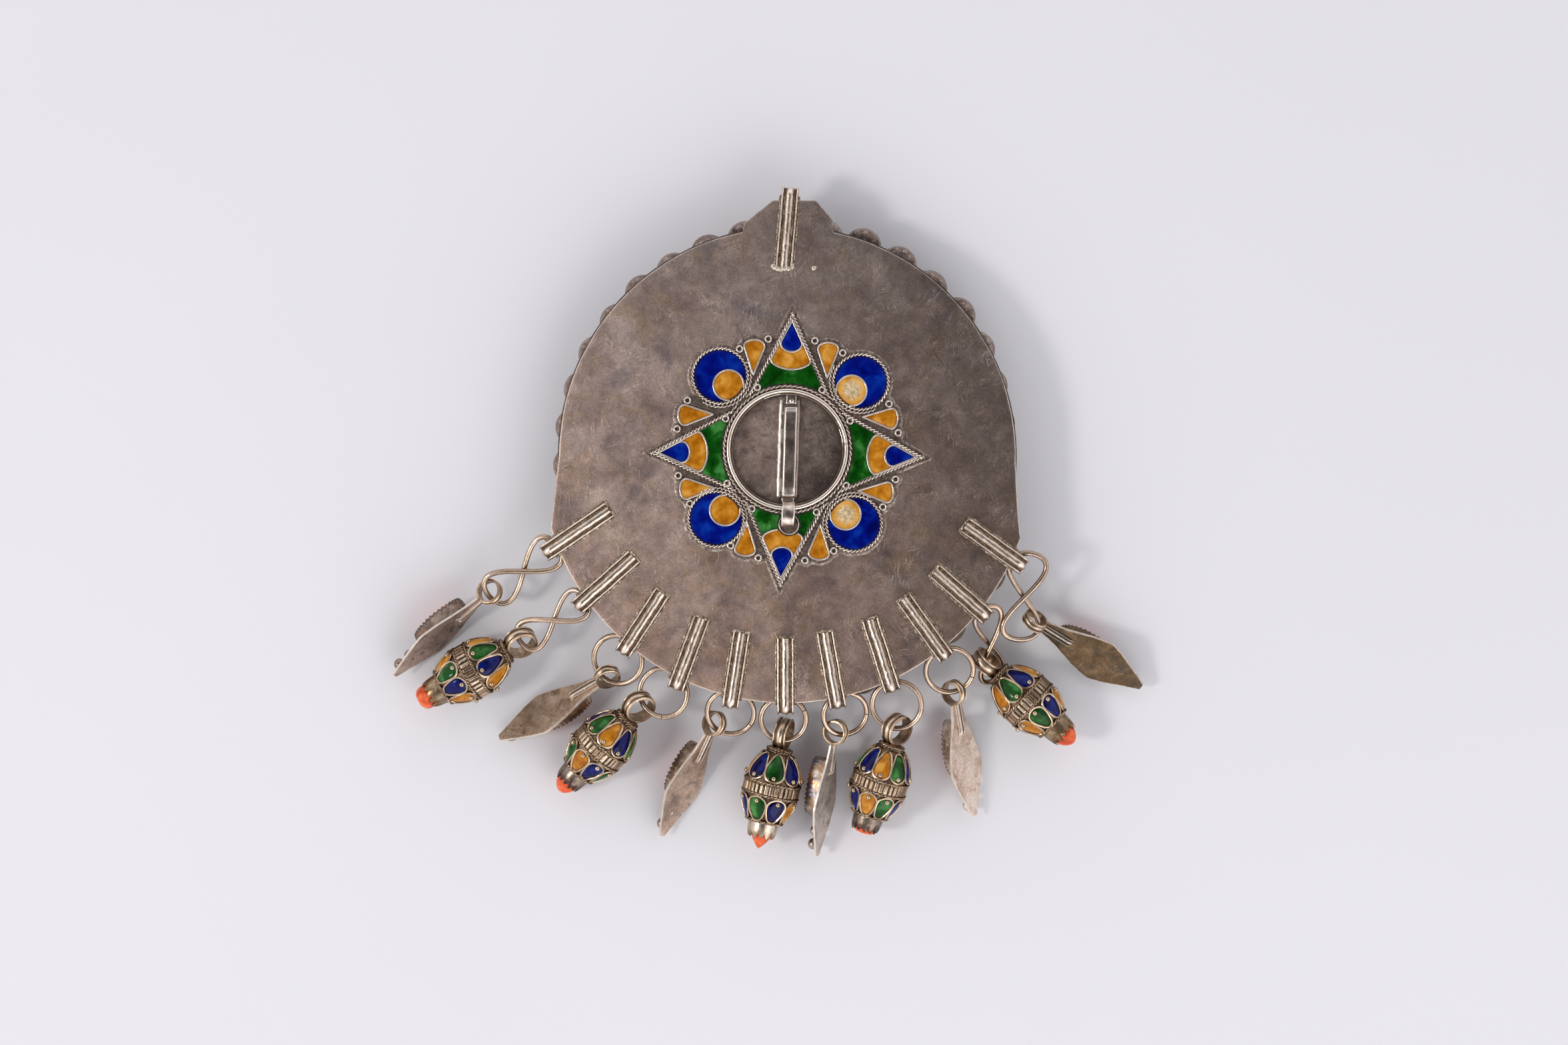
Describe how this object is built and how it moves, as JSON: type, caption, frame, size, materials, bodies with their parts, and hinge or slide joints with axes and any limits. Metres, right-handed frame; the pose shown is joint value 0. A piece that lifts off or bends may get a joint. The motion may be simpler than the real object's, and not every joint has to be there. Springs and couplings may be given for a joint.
{
  "type": "enamelled silver pendant brooch",
  "caption": "Round silver pendant brooch with an enamelled rosette round a ring and hinged pin, a top loop, and egg and lozenge drops hung on wire links from ribbed straps.",
  "frame": {"origin": "on the table under the middle of the pin ring, at the flat foot of the front boss", "axes": "+X to the right and +Y towards the top loop as seen from the back, +Z out of the back; the front faces the table"},
  "size_m": [0.1939, 0.1722, 0.0181],
  "materials": {
    "tarnished_silver": "satin, grey-brown tarnish with fine scratches",
    "bright_silver": "worn bright, dark in the corners",
    "silver_wire": "smooth, warm brownish",
    "lozenge_silver": "satin, brown and blue heat tints",
    "oxidised_silver": "dark in the hollows, worn bright on the wires",
    "blue_enamel": "glossy deep blue",
    "yellow_enamel": "glossy ochre with specks",
    "green_enamel": "glossy mid green",
    "coral": "polished orange-red"
  },
  "bodies": {
    "brooch": {"back_plate": "tarnished_silver", "front_plate": "tarnished_silver", "rosette_frame": "bright_silver", "enamel_blue": "blue_enamel", "enamel_yellow": "yellow_enamel", "enamel_green": "green_enamel", "link_3": "silver_wire", "link_4": "silver_wire", "link_5": "silver_wire", "link_6": "silver_wire", "link_7": "silver_wire", "link_8": "silver_wire", "link_9": "silver_wire", "link_1": "silver_wire", "link_2": "silver_wire", "link_10": "silver_wire", "link_11": "silver_wire", "lozenge_1": "lozenge_silver", "lozenge_3": "lozenge_silver", "lozenge_5": "lozenge_silver", "lozenge_7": "lozenge_silver", "lozenge_9": "lozenge_silver", "lozenge_11": "lozenge_silver", "lozenge_coral_1": "coral", "lozenge_coral_3": "coral", "lozenge_coral_5": "coral", "lozenge_coral_7": "coral", "lozenge_coral_9": "coral", "lozenge_coral_11": "coral", "egg_2": "oxidised_silver", "egg_4": "oxidised_silver", "egg_6": "oxidised_silver", "egg_8": "oxidised_silver", "egg_10": "oxidised_silver", "egg_coral_2": "coral", "egg_coral_4": "coral", "egg_coral_6": "coral", "egg_coral_8": "coral", "egg_coral_10": "coral", "egg_blue_2": "blue_enamel", "egg_blue_4": "blue_enamel", "egg_blue_6": "blue_enamel", "egg_blue_8": "blue_enamel", "egg_blue_10": "blue_enamel", "egg_green_2": "green_enamel", "egg_green_4": "green_enamel", "egg_green_6": "green_enamel", "egg_green_8": "green_enamel", "egg_green_10": "green_enamel", "egg_yellow_2": "yellow_enamel", "egg_yellow_4": "yellow_enamel", "egg_yellow_6": "yellow_enamel", "egg_yellow_8": "yellow_enamel", "egg_yellow_10": "yellow_enamel"},
    "pin": {"pin": "bright_silver", "pin_boss": "tarnished_silver"}
  },
  "joints": [
    {"name": "pin_hinge", "type": "hinge", "parent": "brooch", "child": "pin", "pos_m": [0, -0.0165, 0.0149], "axis": [-1, 0, 0], "range_deg": [0, 80]}
  ]
}
